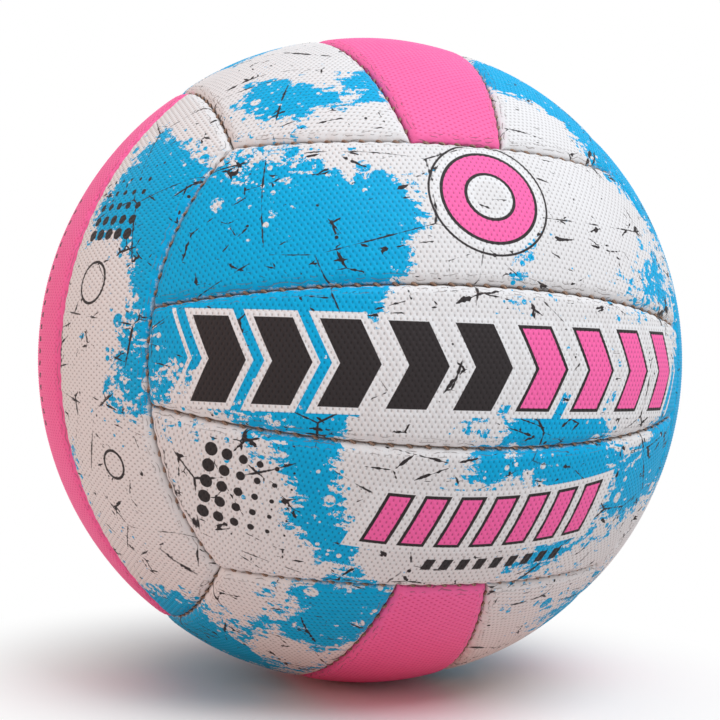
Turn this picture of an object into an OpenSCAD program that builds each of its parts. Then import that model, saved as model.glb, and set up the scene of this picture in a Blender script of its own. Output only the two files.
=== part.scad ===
// A hand-stitched netball of eighteen panels: six faces, as on a cube, of three strips each.
// The origin is the ball's centre, the front face looks along -Y, and +Z is up.
// Every seam lies in a plane, so each panel is cut from a shell by solids turned about the
// seams' own axes, and the thread of a seam is turned about the same axis.

/* [Ball] */
// Radius of the finished ball, over the middle of a panel
ball_r = 111.4; // [105:0.1:118]
// Angle from a face's middle to the middle of the seam beside it, in degrees
side_seam_angle = 37; // [36:0.5:40]

/* [Cover panels] */
// Thickness of the pimpled rubber sheet
cover_t = 1.2; // [0.9:0.1:1.6]
// Width of the shoulder over which a panel's edge rolls down to its seam
shoulder_w = 3.4; // [2.8:0.1:4]
// Slope of the shoulder's outer step, in degrees
shoulder_slope = 16; // [10:1:24]
// Width of the shoulder's inner, steeper step
edge_w = 1.8; // [1.2:0.1:2.4]
// Slope of that inner step, in degrees
edge_slope = 45; // [36:1:50]
// How much wider both steps are at a strip's two ends
end_extra_w = 0.3; // [0.2:0.05:0.5]
// Depth of the turned-in seam allowance, below the ball's surface
allowance_depth = 5.6; // [5.2:0.1:6.5]
// Gap between the two allowances of a seam
seam_gap = 0.2; // [0.1:0.05:0.5]

/* [Linings] */
// Thickness of the bonded cloth layers behind a panel
lining_t = 1; // [0.6:0.1:1.4]
// Glue line between a panel and what is bonded to it
glue_t = 0.05; // [0.02:0.01:0.1]

/* [Bladder] */
// Wall of the rubber bladder
bladder_t = 0.7; // [0.5:0.1:1.2]
// Room between the bladder and the tips of the seam allowances
bladder_room = 0.3; // [0.1:0.1:0.6]

/* [Thread] */
// Radius of the waxed thread
thread_r = 0.4; // [0.25:0.05:0.5]
// Thickness of the thread where it lies flattened along an allowance
rail_t = 0.5; // [0.3:0.05:0.7]
// Distance from one stitch to the next
stitch_pitch = 5.25; // [4:0.25:8]
// Depth of the stitches below the ball's surface
stitch_depth = 4; // [3.8:0.1:4.4]
// Room between the thread and the rubber, in a stitch hole and beside it
thread_room = 0.06; // [0.04:0.01:0.1]
// Distance from a run's first stitch to the seam that crosses its end
run_end = 4.5; // [3.5:0.5:7]

/* [Valve] */
// Radius of the valve's stem
stem_r = 4.4; // [3.5:0.1:5.5]
// Room between the stem and the holes that it passes through
stem_room = 0.15; // [0.1:0.05:0.4]
// Depth of the stem's top below the ball's surface
stem_recess = 0.3; // [0.2:0.1:0.6]
// How far the stem reaches inside the bladder
stem_reach = 6; // [4:0.5:9]
// Radius of the flange that is vulcanised to the bladder
flange_r = 11; // [8:0.5:14]
// Thickness of that flange
flange_t = 1.2; // [0.8:0.1:1.4]
// Radius of the pocket that holds the core
pocket_r = 2.6; // [2:0.1:3]
// Wall under the core, at the stem's inner end
stem_floor_t = 0.9; // [0.6:0.1:1.5]
// Radius of the air passage through that wall
air_passage_r = 0.8; // [0.5:0.1:1.2]
// Radius of the needle's guide hole in the core
needle_hole_r = 1.05; // [0.9:0.05:1.3]
// Depth of the guide hole, below which the core is a closed slit
needle_hole_depth = 6; // [4:0.5:8]
// Room round the core in its pocket
core_room = 0.05; // [0.02:0.01:0.1]
// Radius of the ring that strengthens the panel round the stem
patch_r = 13; // [9:0.5:18]
// Thickness of that ring
patch_t = 0.8; // [0.5:0.1:1]

/* [Hidden] */
// How far a cutter runs past what it cuts
overrun = 0.5;
// How far a cutter reaches, as a share of the ball's radius
cutter_reach_share = 1.3;
// Radial steps in a cutter's far edge
cutter_steps = 5;
// A rung of the thread, as a share of the thread's own radius, which its rails lie flat at
rung_share = 0.9;
// How far a rail runs on past the rung at its end, as a share of the thread's radius
rail_tail_share = 2;
// The strips of a face, from the low side of its across direction to the high side
strips = [-1, 0, 1];
// The share of a face's half angle that its middle strip takes
middle_strip_share = 1 / 3;

inner_seam_angle = side_seam_angle * middle_strip_share;
// Angle from a face's middle, round the direction of its strips, to the corners of the cube
corner_angle = 45;
// How far the blank of a panel runs past the seams round it, in degrees
patch_margin = 2;
// The corners of the cube on a ball of radius 1 lie this far along each axis
corner_share = 1 / sqrt(3);
// The plane of a side seam goes through two of those corners and the seam's own middle
side_tilt = atan2(sin(side_seam_angle) - corner_share, cos(side_seam_angle) - corner_share);
side_polar = 90 + side_tilt - side_seam_angle;
side_half_arc = asin(corner_share / sin(side_polar));
// An inner seam is a great circle, which ends on the side seams of the two faces beside it
inner_polar = 90;
end_reach = norm([cos(side_tilt) * cos(inner_seam_angle), sin(side_tilt)]);
end_turn = atan2(sin(side_tilt), cos(side_tilt) * cos(inner_seam_angle));
inner_half_arc = acos(cos(side_polar) / end_reach) - end_turn;
// Where the inner seams of one face meet the side seam of the next, round that seam's axis
junction_arc = asin(cos(inner_half_arc) * sin(inner_seam_angle) / sin(side_polar));

allowance_r = ball_r - allowance_depth;
bladder_r = allowance_r - bladder_room;
lining_r = ball_r - cover_t - glue_t;
step_count = 2;
lining_inset = seam_gap / 2 + shoulder_w + end_extra_w;
patch_outer_r = lining_r - lining_t - glue_t;
stitch_r = ball_r - stitch_depth;
stitch_hole_r = thread_r + thread_room;
rail_offset = seam_gap / 2 + cover_t + thread_room + rail_t / 2;
stem_hole_r = stem_r + stem_room;
stem_top = ball_r - stem_recess;
stem_bottom = bladder_r - bladder_t - stem_reach;
flange_bottom_r = bladder_r + glue_t;
core_r = pocket_r - core_room;
core_bottom = stem_bottom + stem_floor_t + core_room;

up = [0, 0, 1];
right = [1, 0, 0];
back = [0, 1, 0];
// Each face: its name, outward normal, direction along its strips, direction across them,
// and the names of its strips from the low side of that across direction
faces = [
    ["front", -back, right, up, ["lower", "middle", "upper"]],
    ["back", back, right, up, ["lower", "middle", "upper"]],
    ["left", -right, up, back, ["front", "middle", "back"]],
    ["right", right, up, back, ["front", "middle", "back"]],
    ["bottom", -up, back, right, ["left", "middle", "right"]],
    ["top", up, back, right, ["left", "middle", "right"]]
];
// The face beside another, on the low and on the high side of its across direction
low_neighbour = ["bottom", "bottom", "front", "front", "left", "left"];
high_neighbour = ["top", "top", "back", "back", "right", "right"];
// The panel that the valve comes up through
valve_panel = "back_middle";

function face_name(f) = f[0];
function normal(f) = f[1];
function along(f) = f[2];
function across(f) = f[3];
function strip_name(f, s) = str(face_name(f), "_", f[4][s + 1]);
function panel_node(f, s) = str(strip_name(f, s), "_panel");
function lining_node(f, s) = str(strip_name(f, s), "_lining");
function neighbour(i, side) = side < 0 ? low_neighbour[i] : high_neighbour[i];
function seam_node(i, side) = str(face_name(faces[i]), "_", neighbour(i, side), "_seam_thread");
function strip_seams_node(f) = str(face_name(f), "_strip_seam_threads");

// The middle strips beside, above and below the front and back faces are plain pink
function panel_colour(f, s) = s == 0 && normal(f) * back == 0 ? "hotpink" : "white";

// A seam is its plane's normal, the direction from there to the seam's middle, and the
// angle between the two. The strip that it bounds lies beyond that angle from the normal.
function side_seam(n, c) = [
    cos(side_tilt) * c - sin(side_tilt) * n,
    cos(side_tilt) * n + sin(side_tilt) * c,
    side_polar
];
function inner_seam(n, c) = [
    cos(inner_seam_angle) * c - sin(inner_seam_angle) * n,
    cos(inner_seam_angle) * n + sin(inner_seam_angle) * c,
    inner_polar
];
function seen_from_behind(seam) = [-seam[0], seam[1], 180 - seam[2]];

// Each step of a shoulder: its width, its slope, and how deep the one before has brought it
function shoulder_steps(extra_w) = [
    [shoulder_w + extra_w, shoulder_slope, 0],
    [edge_w + extra_w, edge_slope, (shoulder_w - edge_w) * tan(shoulder_slope)]
];

// The four seams round a strip, each with the arcs of it that hold the strip's stitches and
// the steps of the shoulder beside it
function bounds_of(f, s) = concat(
    s == 0
        ? [for (c = [-1, 1]) long_bound(inner_seam(normal(f), c * across(f)), whole_inner_arc())]
        : [
            long_bound(side_seam(normal(f), s * across(f)), whole_side_arcs()),
            long_bound(seen_from_behind(inner_seam(normal(f), s * across(f))), whole_inner_arc())
        ],
    [for (e = [-1, 1]) end_bound(f, s, seen_from_behind(side_seam(e * along(f), normal(f))))]
);
function long_bound(seam, arcs) = [seam, arcs, shoulder_steps(0)];
// The arc that a strip's end takes lies to the same side of the seam's middle as the strip
function end_bound(f, s, seam) =
    let (side = s * sign(cross(seam[0], seam[1]) * across(f)))
    [seam, [end_arc(side)], shoulder_steps(end_extra_w)];
function whole_inner_arc() = [[-inner_half_arc, inner_half_arc]];
function whole_side_arcs() = [for (s = strips) end_arc(s)];
// The arc of a side seam that the end of one strip of the next face lies on
function end_arc(s) =
    s == 0 ? [-junction_arc, junction_arc]
    : s > 0 ? [junction_arc, side_half_arc]
    : [-side_half_arc, -junction_arc];

// The places of a run's stitches, in degrees round the seam's axis, evenly spread
function stitches(seam, arc) =
    let (circle_r = stitch_r * sin(seam[2]))
    let (margin = run_end / circle_r * 180 / PI)
    let (first = arc[0] + margin)
    let (last = arc[1] - margin)
    let (count = max(2, 1 + round((last - first) * PI / 180 * circle_r / stitch_pitch)))
    [for (k = [0 : count - 1]) first + (last - first) * k / (count - 1)];

// Puts what is drawn about Z, with its start towards +X, on a seam's own axis
module on_seam(seam) {
    a = seam[0];
    m = seam[1];
    side = cross(a, m);
    multmatrix([
        [m[0], side[0], a[0], 0],
        [m[1], side[1], a[1], 0],
        [m[2], side[2], a[2], 0],
        [0, 0, 0, 1]
    ])
        children();
}

// A point of a seam's section: out along the seam's ray, and off it away from the axis
function section(polar, out, off) = [
    out * sin(polar) + off * cos(polar),
    out * cos(polar) - off * sin(polar)
];

// Takes away all on a seam's own side of a wall that stands beside it
module beyond_wall(seam, wall_off) {
    polar = seam[2];
    reach = ball_r * cutter_reach_share;
    on_seam(seam)
        rotate([0, 0, 180])
            rotate_extrude($fn = 180)
                polygon(concat(
                    [[0, -wall_off / sin(polar)], section(polar, reach, wall_off)],
                    [for (k = [cutter_steps - 1 : -1 : 0])
                        reach * [sin(polar * k / cutter_steps), cos(polar * k / cutter_steps)]]
                ));
}

// The ball that rolls a panel's edge over, in a step: it meets the ball's surface at a
// distance from the seam, and falls away from there towards the seam at a slope
module shoulder_ball(seam, step, drop) {
    polar = seam[2];
    centre = ball_r * (sin(polar) / tan(polar - step[1]) - cos(polar));
    off = seam_gap / 2 + step[0];
    start = section(polar, sqrt(pow(ball_r - step[2], 2) - pow(off, 2)), off);
    on_seam(seam)
        translate([0, 0, -centre])
            rotate([0, 0, 180])
                sphere(r = norm([start[0], start[1] + centre]) - drop, $fn = 180);
}

// Trims what is drawn by the walls beside a strip's seams, one after another
module walled(bounds, wall_off, k = 0) {
    if (k == len(bounds))
        children();
    else
        difference() {
            walled(bounds, wall_off, k + 1)
                children();
            beyond_wall(bounds[k][0], wall_off);
        }
}

// Rolls over the edges of what is drawn, one after another, each in all its steps
module rolled(bounds, drop, k = 0) {
    bound = bounds[floor(k / step_count)];
    if (k == len(bounds) * step_count)
        children();
    else
        intersection() {
            rolled(bounds, drop, k + 1)
                children();
            shoulder_ball(bound[0], bound[2][k % step_count], drop);
        }
}

// A patch of a shell of the ball that holds one strip of a face, with a margin all round
module shell_patch(f, s, outer_r, inner_r) {
    x = normal(f);
    y = across(f);
    z = cross(x, y);
    from = s == 0 ? -inner_seam_angle : s > 0 ? inner_seam_angle : -corner_angle;
    to = s == 0 ? inner_seam_angle : s > 0 ? corner_angle : -inner_seam_angle;
    reach = ball_r * cutter_reach_share;
    half_height = reach * tan(90 - side_seam_angle + patch_margin);
    multmatrix([
        [x[0], y[0], z[0], 0],
        [x[1], y[1], z[1], 0],
        [x[2], y[2], z[2], 0],
        [0, 0, 0, 1]
    ])
        rotate([0, 0, from - patch_margin])
            rotate_extrude(angle = to - from + 2 * patch_margin, $fn = 180)
                intersection() {
                    difference() {
                        circle(r = outer_r, $fn = 180);
                        circle(r = inner_r, $fn = 180);
                    }
                    polygon([[0, 0], [reach, -half_height], [reach, half_height]]);
                }
}

// The holes that the stitches of a run go through, in the allowance on the strip's side
module stitch_holes(seam, arcs) {
    polar = seam[2];
    place = section(polar, stitch_r, 0);
    on_seam(seam)
        for (arc = arcs)
            for (a = stitches(seam, arc))
                rotate([0, 0, a])
                    translate([place[0], 0, place[1]])
                        rotate([0, 90 + polar, 0])
                            translate([0, 0, -seam_gap])
                                cylinder(r = stitch_hole_r, h = rail_offset + rail_t + seam_gap, $fn = 16);
}

// A cover panel: a shell of the ball with its four edges rolled over a shoulder and turned
// in towards the bladder, open at the back like a tray
module cover_panel(f, s) {
    bounds = bounds_of(f, s);
    color(panel_colour(f, s))
        difference() {
            rolled(bounds, 0)
                walled(bounds, seam_gap / 2)
                    shell_patch(f, s, ball_r, allowance_r);
            rolled(bounds, cover_t)
                walled(bounds, seam_gap / 2 + cover_t)
                    shell_patch(f, s, ball_r - cover_t, allowance_r - overrun);
            if (strip_name(f, s) == valve_panel)
                along_valve()
                    cylinder(r = stem_hole_r, h = ball_r + overrun, $fn = 64);
            for (b = bounds)
                stitch_holes(b[0], b[1]);
        }
}

// The cloth layers bonded behind a panel, cut short of its rolled edges
module panel_lining(f, s) {
    color("wheat")
        difference() {
            walled(bounds_of(f, s), lining_inset)
                shell_patch(f, s, lining_r, lining_r - lining_t);
            if (strip_name(f, s) == valve_panel)
                along_valve()
                    cylinder(r = stem_hole_r, h = ball_r, $fn = 64);
        }
}

// One run of saddle stitch: a rail of flattened thread along the back of each allowance,
// and a rung through both of them at every stitch
module thread_run(seam, arc) {
    polar = seam[2];
    places = stitches(seam, arc);
    first = places[0];
    last = places[len(places) - 1];
    middle = section(polar, stitch_r, 0);
    // Room for a rail to run on past the rung at its end, in degrees
    tail = thread_r / middle[0] * 180 / PI * rail_tail_share;
    color("rosybrown")
        on_seam(seam) {
            for (side = [-1, 1])
                rotate([0, 0, first - tail])
                    rotate_extrude(angle = last - first + 2 * tail, $fn = 180)
                        translate(section(polar, stitch_r, side * rail_offset))
                            rotate(90 - polar)
                                square([2 * thread_r, rail_t], center = true);
            for (a = places)
                rotate([0, 0, a])
                    translate([middle[0], 0, middle[1]])
                        rotate([0, 90 + polar, 0])
                            cylinder(r = thread_r * rung_share, h = 2 * rail_offset, center = true, $fn = 16);
        }
}

module side_seam_thread(f, side) {
    for (s = strips)
        thread_run(side_seam(normal(f), side * across(f)), end_arc(s));
}

module strip_seam_threads(f) {
    for (side = [-1, 1])
        thread_run(inner_seam(normal(f), side * across(f)), whole_inner_arc()[0]);
}

// Puts what stands along +Z on the valve's axis, out through the back
module along_valve() {
    rotate([-90, 0, 0])
        children();
}

module ball_shell(outer_r, inner_r) {
    difference() {
        sphere(r = outer_r, $fn = 180);
        sphere(r = inner_r, $fn = 180);
    }
}

module bladder() {
    color("dimgray")
        difference() {
            ball_shell(bladder_r, bladder_r - bladder_t);
            along_valve()
                cylinder(r = stem_hole_r, h = ball_r, $fn = 64);
        }
}

module valve_body() {
    color("black")
        along_valve()
            difference() {
                union() {
                    translate([0, 0, stem_bottom])
                        cylinder(r = stem_r, h = stem_top - stem_bottom, $fn = 64);
                    intersection() {
                        ball_shell(flange_bottom_r + flange_t, flange_bottom_r);
                        cylinder(r = flange_r, h = ball_r, $fn = 96);
                    }
                }
                translate([0, 0, stem_bottom + stem_floor_t])
                    cylinder(r = pocket_r, h = stem_top - stem_bottom, $fn = 48);
                translate([0, 0, stem_bottom - overrun])
                    cylinder(r = air_passage_r, h = stem_floor_t + 2 * overrun, $fn = 32);
            }
}

module valve_core() {
    color("gray")
        along_valve()
            difference() {
                translate([0, 0, core_bottom])
                    cylinder(r = core_r, h = stem_top - core_bottom, $fn = 48);
                translate([0, 0, stem_top - needle_hole_depth])
                    cylinder(r = needle_hole_r, h = needle_hole_depth + overrun, $fn = 32);
            }
}

module valve_patch() {
    color("saddlebrown")
        intersection() {
            ball_shell(patch_outer_r, patch_outer_r - patch_t);
            along_valve()
                difference() {
                    cylinder(r = patch_r, h = ball_r, $fn = 96);
                    cylinder(r = stem_hole_r, h = ball_r, $fn = 64);
                }
        }
}

for (f = faces) for (s = strips)
    cover_panel(f, s);
for (f = faces) for (s = strips)
    panel_lining(f, s);
for (i = [0 : len(faces) - 1]) for (side = [-1, 1])
    side_seam_thread(faces[i], side);
for (f = faces)
    strip_seam_threads(f);
bladder();
valve_body();
valve_core();
valve_patch();
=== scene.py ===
# %% [markdown]
# # A netball of eighteen sewn panels
# The ball is sewn from eighteen strips of pimpled rubber sheet, three on each of six faces.
# The CAD frame gives the size of the ball and the place of every piece. The covers and their
# stitches are soft goods, so they are modelled here again, panel by panel, round that frame.

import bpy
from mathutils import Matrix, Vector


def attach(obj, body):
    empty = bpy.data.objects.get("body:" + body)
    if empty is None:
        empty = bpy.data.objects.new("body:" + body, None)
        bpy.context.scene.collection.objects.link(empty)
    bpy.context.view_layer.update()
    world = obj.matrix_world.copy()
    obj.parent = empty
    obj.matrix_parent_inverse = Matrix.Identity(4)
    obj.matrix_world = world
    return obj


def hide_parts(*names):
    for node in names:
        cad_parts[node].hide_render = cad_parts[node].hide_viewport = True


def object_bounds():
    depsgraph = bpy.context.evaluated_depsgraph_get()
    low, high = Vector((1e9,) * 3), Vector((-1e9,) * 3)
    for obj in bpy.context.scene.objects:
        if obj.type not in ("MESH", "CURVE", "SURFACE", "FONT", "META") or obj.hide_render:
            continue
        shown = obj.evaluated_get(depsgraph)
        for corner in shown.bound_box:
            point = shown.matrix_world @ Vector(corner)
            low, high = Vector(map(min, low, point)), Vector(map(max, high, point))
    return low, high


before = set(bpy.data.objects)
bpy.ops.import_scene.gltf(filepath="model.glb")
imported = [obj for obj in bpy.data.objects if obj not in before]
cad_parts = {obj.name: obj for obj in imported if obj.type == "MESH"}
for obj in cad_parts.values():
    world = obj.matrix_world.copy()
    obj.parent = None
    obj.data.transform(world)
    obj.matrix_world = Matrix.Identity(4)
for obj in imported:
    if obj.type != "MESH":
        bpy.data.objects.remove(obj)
cad_low, cad_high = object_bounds()
print("nodes in the frame:", len(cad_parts))

# %% Libraries and units
import math

import bpy
import numpy as np
from mathutils import Matrix, Vector

MM = 0.001
ball_r = (cad_high.z - cad_low.z) / 2
print(f"ball radius {ball_r / MM:.1f} mm")

# %% [markdown]
# ## The seams
# Every seam of the ball lies in a plane. The two seams inside a face are great circles, and
# the seam round a face passes through two corners of the cube that the ball is based on. A
# seam is kept as the axis that it is a circle about, the direction of its own middle, and the
# angle between the two. The strip that it bounds lies beyond that angle from the axis.

# %% Seams of a face
side_seam_angle = math.radians(37)
inner_seam_angle = side_seam_angle / 3
corner_share = 1 / math.sqrt(3)
side_tilt = math.atan2(
    math.sin(side_seam_angle) - corner_share,
    math.cos(side_seam_angle) - corner_share,
)
side_polar = math.pi / 2 + side_tilt - side_seam_angle
side_half_arc = math.asin(corner_share / math.sin(side_polar))
end_reach = math.hypot(math.cos(side_tilt) * math.cos(inner_seam_angle), math.sin(side_tilt))
end_turn = math.atan2(math.sin(side_tilt), math.cos(side_tilt) * math.cos(inner_seam_angle))
inner_half_arc = math.acos(math.cos(side_polar) / end_reach) - end_turn
junction_arc = math.asin(
    math.cos(inner_half_arc) * math.sin(inner_seam_angle) / math.sin(side_polar)
)


def side_seam(normal, across):
    axis = math.cos(side_tilt) * across - math.sin(side_tilt) * normal
    middle = math.cos(side_tilt) * normal + math.sin(side_tilt) * across
    return axis, middle, side_polar


def inner_seam(normal, across):
    axis = math.cos(inner_seam_angle) * across - math.sin(inner_seam_angle) * normal
    middle = math.cos(inner_seam_angle) * normal + math.sin(inner_seam_angle) * across
    return axis, middle, math.pi / 2


def from_behind(seam):
    axis, middle, polar = seam
    return -axis, middle, math.pi - polar


# %% Faces and the stitched arcs round each strip
RIGHT = Vector((1, 0, 0))
BACK = Vector((0, 1, 0))
UP = Vector((0, 0, 1))
# Each face: its outward normal, the direction along its strips, the direction across them,
# the names of its strips from the low side of that direction, and the faces on its two sides
FACES = {
    "front": (-BACK, RIGHT, UP, ("lower", "middle", "upper"), ("bottom", "top")),
    "back": (BACK, RIGHT, UP, ("lower", "middle", "upper"), ("bottom", "top")),
    "left": (-RIGHT, UP, BACK, ("front", "middle", "back"), ("front", "back")),
    "right": (RIGHT, UP, BACK, ("front", "middle", "back"), ("front", "back")),
    "bottom": (-UP, BACK, RIGHT, ("left", "middle", "right"), ("left", "right")),
    "top": (UP, BACK, RIGHT, ("left", "middle", "right"), ("left", "right")),
}


def end_arc(side):
    if side == 0:
        return -junction_arc, junction_arc
    return (junction_arc, side_half_arc) if side > 0 else (-side_half_arc, -junction_arc)


def seams_round(face, side):
    """The four seams round a strip, each with the arcs of it that hold the strip's stitches."""
    normal, along, across = FACES[face][:3]
    whole_inner = [(-inner_half_arc, inner_half_arc)]
    if side == 0:
        seams = [(inner_seam(normal, c * across), whole_inner) for c in (-1, 1)]
    else:
        outer = side_seam(normal, side * across)
        seams = [
            (outer, [end_arc(s) for s in (-1, 0, 1)]),
            (from_behind(inner_seam(normal, side * across)), whole_inner),
        ]
    for end in (-1, 1):
        seam = from_behind(side_seam(end * along, normal))
        turn = math.copysign(1, seam[0].cross(seam[1]).dot(across))
        seams.append((seam, [end_arc(side * turn)]))
    return seams


print("inner seams reach", round(math.degrees(inner_half_arc), 1), "degrees either way")

# %% [markdown]
# ## Stitches along a seam
# A run of saddle stitch starts a little inside the seam that crosses its end, and its
# stitches are evenly spread, about five millimetres apart. The covers pucker at each stitch,
# so the covers and the threads take their places from the same function.

# %% Places of the stitches
stitch_pitch = 5.25 * MM
stitch_depth = 4 * MM
run_end = 4.5 * MM


def stitch_angles(seam, arc):
    circle_r = (ball_r - stitch_depth) * math.sin(seam[2])
    margin = run_end / circle_r
    first, last = arc[0] + margin, arc[1] - margin
    count = max(2, 1 + round((last - first) * circle_r / stitch_pitch))
    return [first + (last - first) * k / (count - 1) for k in range(count)]


run = (-inner_half_arc, inner_half_arc)
print("stitches along a strip:", len(stitch_angles(inner_seam(-BACK, UP), run)))

# %% [markdown]
# ## One cover panel, from a flat sheet
# The rubber sheet is moulded flat, with pimples in staggered rows that follow the panel. A
# flat grid with four steps from pimple to pimple holds those rows as real geometry. It is
# then laid round the ball about the strip's own middle line, which hardly stretches it. No
# operator wraps a sheet on a ball, so that one step moves the points by formula. The seams
# are planes, so bisect cuts the panel to its outline, and extra cuts beside each seam give
# the rolled edge the points that it needs.

# %% Sizes of the cover
pimple_pitch = 1.85 * MM
row_pitch = 1.45 * MM
pimple_h = 0.22 * MM
seam_gap = 0.2 * MM
roll_w = 3.2 * MM
roll_depth = 2.3 * MM
pillow = 0.5 * MM
pillow_w = 15 * MM
pucker_depth = 0.45 * MM
pucker_w = 2.4 * MM
smooth_margin = 2.2 * MM
allowance_depth = 5.6 * MM
cover_t = 1.2 * MM
skin_step = 5 * MM
roll_cuts = (0.35 * MM, 0.8 * MM)
cut_threshold = MM / 1000
smooth_angle = math.radians(60)


# %% Points of a mesh as an array
def points_of(piece):
    co = np.empty(len(piece.data.vertices) * 3)
    piece.data.vertices.foreach_get("co", co)
    return co.reshape(-1, 3)


def move_points(piece, points):
    piece.data.vertices.foreach_set("co", points.ravel())
    piece.data.update()


# %% A flat sheet with its own millimetre map
def flat_sheet(name, half_length, half_width, step_along, step_across):
    bpy.ops.object.select_all(action="DESELECT")
    count_along = 2 * math.ceil(half_length / step_along)
    count_across = 2 * math.ceil(half_width / step_across)
    bpy.ops.mesh.primitive_grid_add(
        x_subdivisions=count_along, y_subdivisions=count_across, size=1
    )
    sheet = bpy.context.active_object
    sheet.name = name
    bpy.ops.transform.resize(value=(count_along * step_along, count_across * step_across, 1))
    bpy.ops.object.transform_apply(location=False, rotation=False, scale=True)
    corner_of = np.empty(len(sheet.data.loops), int)
    sheet.data.loops.foreach_get("vertex_index", corner_of)
    flat = points_of(sheet)[corner_of, :2] / MM
    sheet.data.uv_layers[0].uv.foreach_set("vector", flat.ravel())
    return sheet


# %% Laying the sheet round the ball and cutting its outline
def wrap_on_ball(sheet, middle, across):
    flat = points_of(sheet)
    turn, lift = flat[:, 0:1] / ball_r, flat[:, 1:2] / ball_r
    m, k = np.array(middle), np.array(across)
    u = np.cross(k, m)
    level = np.cos(turn) * m + np.sin(turn) * u
    move_points(sheet, ball_r * (np.cos(lift) * level + np.sin(lift) * k))


def cut_at(seam, distance, clear):
    axis, _, polar = seam
    bpy.ops.mesh.select_all(action="SELECT")
    bpy.ops.mesh.bisect(
        plane_co=axis * ball_r * math.cos(polar + distance / ball_r),
        plane_no=axis,
        clear_outer=clear,
        threshold=cut_threshold,
    )


def seam_distance(directions, seam):
    """How far each direction lies from a seam, along the ball, into the strip."""
    axis, _, polar = seam
    return ball_r * (np.arccos(np.clip(directions @ np.array(axis), -1, 1)) - polar)


# %% The pull of the stitches on an edge
def pull_of_stitches(directions, seam, arcs):
    """One at each stitch along a seam, nought between them."""
    axis, middle, _ = seam
    side = axis.cross(middle)
    angle = np.arctan2(directions @ np.array(side), directions @ np.array(middle))
    pull = np.zeros(len(directions))
    for arc in arcs:
        places = stitch_angles(seam, arc)
        step = places[1] - places[0]
        inside = (angle > arc[0]) & (angle < arc[1])
        wave = 0.5 + 0.5 * np.cos(2 * math.pi * (angle - places[0]) / step)
        pull = np.where(inside, wave, pull)
    return pull


# %% Rolling the edges over and raising the pimples
def shape_cover(sheet, seams):
    points = points_of(sheet)
    directions = points / np.linalg.norm(points, axis=1)[:, None]
    rise = np.ones(len(points))
    pucker = np.zeros(len(points))
    nearest = np.full(len(points), ball_r)
    for seam, arcs in seams:
        distance = np.maximum(seam_distance(directions, seam) - seam_gap / 2, 0)
        share = np.clip(1 - distance / roll_w, 0, 1)
        rise *= np.sqrt(1 - share**2)
        pull = pull_of_stitches(directions, seam, arcs)
        pucker = np.maximum(pucker, pull * np.exp(-((distance / pucker_w) ** 2)))
        nearest = np.minimum(nearest, distance)
    sag = pillow * np.exp(-nearest / pillow_w)
    depth = roll_depth * (1 - rise) + pucker_depth * pucker + sag
    edge_attribute(sheet, nearest)
    return directions, ball_r - depth, nearest


def edge_attribute(sheet, nearest):
    """Keeps each point's distance from its nearest seam, in millimetres, for the materials."""
    attribute = sheet.data.attributes.new("seam_mm", "FLOAT", "POINT")
    attribute.data.foreach_set("value", nearest / MM)


def pimple_heights(flat, nearest):
    wave = np.cos(2 * math.pi * flat[:, 0] / pimple_pitch) * np.cos(
        math.pi * flat[:, 1] / row_pitch
    )
    fade = np.clip((nearest - smooth_margin / 2) / smooth_margin, 0, 1)
    return pimple_h * fade * wave / 2


# %% [markdown]
# ## The turned-in edge and the back of a panel
# The edge of a panel is folded in towards the bladder, and the stitches go through that
# allowance. The rim is extruded inwards, and a coarse inner skin, made the same way, is
# bridged to it, so each panel is a closed piece like the tray that it is in the frame.

# %% Deepening a rim
def select_rim():
    bpy.ops.mesh.select_mode(type="EDGE")
    bpy.ops.mesh.select_all(action="DESELECT")
    bpy.ops.mesh.select_non_manifold(
        extend=False,
        use_wire=False,
        use_boundary=True,
        use_multi_face=False,
        use_non_contiguous=False,
        use_verts=False,
    )


def extrude_rim_inwards(from_depth):
    select_rim()
    bpy.ops.mesh.extrude_region_move()
    share = (ball_r - allowance_depth) / (ball_r - from_depth)
    bpy.ops.transform.resize(value=(share, share, share), center_override=(0, 0, 0))


# %% Flat coordinates of a point on the ball
def flat_of(directions, middle, across):
    m, k = np.array(middle), np.array(across)
    u = np.cross(k, m)
    turn = np.arctan2(directions @ u, directions @ m)
    lift = np.arcsin(np.clip(directions @ k, -1, 1))
    return np.column_stack([turn, lift]) * ball_r


# %% The smooth inside of a panel
half_length = 107 * MM
middle_half_width = 26 * MM
outer_half_width = 35 * MM
strip_angle = (inner_seam_angle + side_seam_angle) / 2


def inner_skin(name, middle, lean, half_width, seams):
    skin = flat_sheet(name + "_skin", half_length, half_width, skin_step, skin_step)
    wrap_on_ball(skin, middle, lean)
    bpy.ops.object.mode_set(mode="EDIT")
    for seam, _ in seams:
        cut_at(seam, seam_gap / 2 + cover_t, True)
        cut_at(seam, seam_gap / 2 + roll_w, False)
    bpy.ops.object.mode_set(mode="OBJECT")
    directions, radii, _ = shape_cover(skin, seams)
    move_points(skin, directions * (radii - cover_t)[:, None])
    bpy.ops.object.mode_set(mode="EDIT")
    bpy.ops.mesh.select_all(action="SELECT")
    bpy.ops.mesh.flip_normals()
    extrude_rim_inwards(roll_depth / 2 + cover_t + pillow)
    bpy.ops.object.mode_set(mode="OBJECT")
    return skin


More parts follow.
